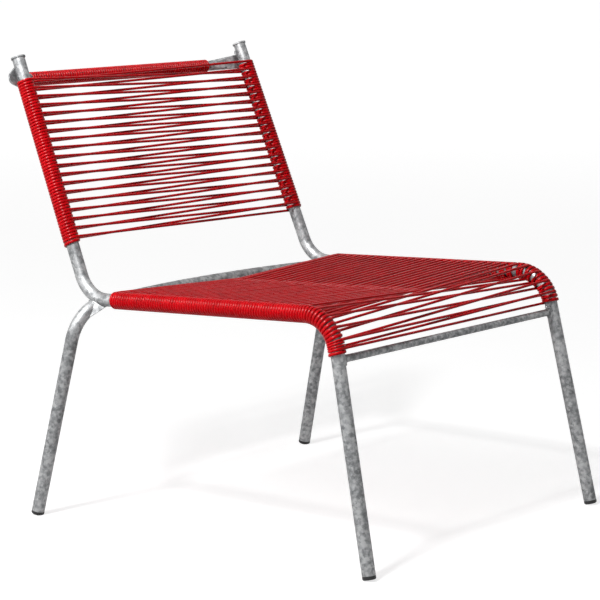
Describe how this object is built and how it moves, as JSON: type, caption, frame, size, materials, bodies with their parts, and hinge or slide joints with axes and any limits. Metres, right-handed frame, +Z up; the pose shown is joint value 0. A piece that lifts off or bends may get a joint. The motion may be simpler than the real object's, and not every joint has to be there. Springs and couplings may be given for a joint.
{
  "type": "cord lounge chair",
  "caption": "Low armless lounge chair: a bent steel tube frame, with a seat and a back wound from plastic cord, standing on plugged feet.",
  "frame": {"origin": "on the floor, under the middle of the bounding box", "axes": "+Z up, the sitter faces -Y, and the sitter's left is +X"},
  "size_m": [0.7244, 0.8338, 0.7712],
  "materials": {
    "galvanised_steel": "hot-dip galvanised, mottled, semi-gloss",
    "red_cord": "glossy soft PVC",
    "black_plastic": "satin moulded plastic"
  },
  "bodies": {
    "root": {"side_tube_left": "galvanised_steel", "side_tube_right": "galvanised_steel", "rear_leg_left": "galvanised_steel", "rear_leg_right": "galvanised_steel", "back_bar": "galvanised_steel", "rear_bar": "galvanised_steel", "front_bar": "galvanised_steel", "gusset_left": "galvanised_steel", "gusset_right": "galvanised_steel", "end_cap_left": "galvanised_steel", "end_cap_right": "galvanised_steel", "foot_plug_front_left": "black_plastic", "foot_plug_front_right": "black_plastic", "foot_plug_rear_left": "black_plastic", "foot_plug_rear_right": "black_plastic", "back_winding_left": "red_cord", "back_winding_right": "red_cord", "back_strands": "red_cord", "bar_winding": "red_cord", "rail_winding_left": "red_cord", "rail_winding_right": "red_cord", "seat_strands": "red_cord", "bend_winding_left": "red_cord", "bend_winding_right": "red_cord", "front_strands": "red_cord"}
  },
  "joints": []
}
